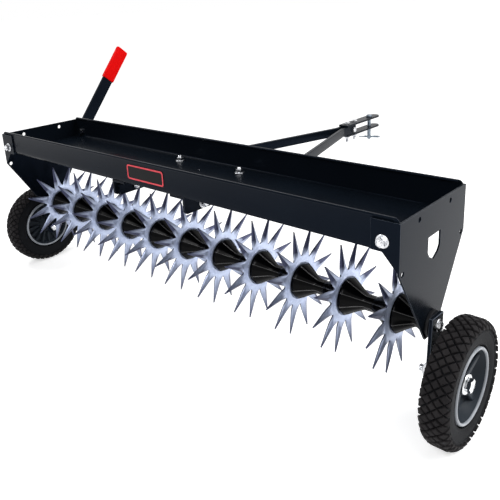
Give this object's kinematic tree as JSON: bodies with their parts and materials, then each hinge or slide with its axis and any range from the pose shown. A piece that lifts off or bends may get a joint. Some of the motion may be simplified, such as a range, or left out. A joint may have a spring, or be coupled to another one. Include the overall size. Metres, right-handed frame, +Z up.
{
  "type": "tow behind spike aerator",
  "caption": "Lawn aerator towed by a garden tractor: a weight tray over a reel of star shaped tines, with lever lifted transport wheels and a V drawbar ending in a clevis.",
  "frame": {"origin": "on the ground, midway across the machine and midway between the rear bolts' ends and the hitch tip", "axes": "+X to the right across the machine, +Y forward to the hitch, +Z up"},
  "size_m": [1.2186, 0.8772, 0.5515],
  "materials": {
    "black_powder_coat": "satin powder coat",
    "zinc_plated_steel": "bright zinc plate",
    "black_oxide_steel": "oiled black oxide",
    "bright_plated_steel": "bright plate",
    "galvanised_steel": "galvanised",
    "gloss_black_plastic": "glossy moulding",
    "red_vinyl": "dipped vinyl",
    "tyre_rubber": "matt rubber",
    "grey_plastic": "satin moulding"
  },
  "bodies": {
    "frame": {"weight_tray": "black_powder_coat", "left_end_plate": "black_powder_coat", "right_end_plate": "black_powder_coat", "tray_bolts": "zinc_plated_steel", "left_axle_bush": "black_oxide_steel", "right_axle_bush": "black_oxide_steel", "left_drawbar": "black_powder_coat", "right_drawbar": "black_powder_coat", "drawbar_brackets": "black_powder_coat", "drawbar_floor_bolts": "zinc_plated_steel", "drawbar_side_bolts": "zinc_plated_steel", "upper_hitch_plate": "black_powder_coat", "lower_hitch_plate": "black_powder_coat", "hitch_bolts": "zinc_plated_steel"},
    "transport": {"tine_axle": "zinc_plated_steel", "left_wheel_arm": "black_powder_coat", "right_wheel_arm": "black_powder_coat", "transport_lever": "black_powder_coat", "lever_grip": "red_vinyl", "axle_end_bolts": "zinc_plated_steel", "left_wheel_bolt": "bright_plated_steel", "right_wheel_bolt": "bright_plated_steel", "wheel_bolt_nuts": "zinc_plated_steel"},
    "lever_lock": {"lever_lock_pin": "zinc_plated_steel"},
    "reel": {"tine_star_01": "galvanised_steel", "tine_star_02": "galvanised_steel", "tine_star_03": "galvanised_steel", "tine_star_04": "galvanised_steel", "tine_star_05": "galvanised_steel", "tine_star_06": "galvanised_steel", "tine_star_07": "galvanised_steel", "tine_star_08": "galvanised_steel", "tine_star_09": "galvanised_steel", "tine_star_10": "galvanised_steel", "tine_star_11": "galvanised_steel", "tine_spacer_01": "gloss_black_plastic", "tine_spacer_02": "gloss_black_plastic", "tine_spacer_03": "gloss_black_plastic", "tine_spacer_04": "gloss_black_plastic", "tine_spacer_05": "gloss_black_plastic", "tine_spacer_06": "gloss_black_plastic", "tine_spacer_07": "gloss_black_plastic", "tine_spacer_08": "gloss_black_plastic", "tine_spacer_09": "gloss_black_plastic", "tine_spacer_10": "gloss_black_plastic", "left_end_spacer": "gloss_black_plastic", "right_end_spacer": "gloss_black_plastic"},
    "left_wheel": {"left_tyre": "tyre_rubber", "left_rim": "grey_plastic", "left_hub_bush": "black_oxide_steel"},
    "right_wheel": {"right_tyre": "tyre_rubber", "right_rim": "grey_plastic", "right_hub_bush": "black_oxide_steel"},
    "pin_and_clip": {"hitch_pin": "zinc_plated_steel", "hitch_clip": "zinc_plated_steel"}
  },
  "joints": [
    {"name": "transport_swing", "type": "hinge", "parent": "frame", "child": "transport", "pos_m": [0, -0.32092, 0.18039], "axis": [1, 0, 0], "range_deg": [0, 120]},
    {"name": "lever_lock_slide", "type": "slide", "parent": "transport", "child": "lever_lock", "axis": [1, 0, 0], "range_m": [0, 0.0163]},
    {"name": "reel_spin", "type": "hinge", "parent": "transport", "child": "reel", "pos_m": [0, -0.32092, 0.18039], "axis": [1, 0, 0], "continuous": true},
    {"name": "left_wheel_spin", "type": "hinge", "parent": "transport", "child": "left_wheel", "pos_m": [0, -0.32508, 0.101], "axis": [1, 0, 0], "continuous": true},
    {"name": "right_wheel_spin", "type": "hinge", "parent": "transport", "child": "right_wheel", "pos_m": [0, -0.32508, 0.101], "axis": [1, 0, 0], "continuous": true},
    {"name": "hitch_pin_lift", "type": "slide", "parent": "frame", "child": "pin_and_clip", "axis": [0, 0, 1], "range_m": [0, 0.024]}
  ]
}
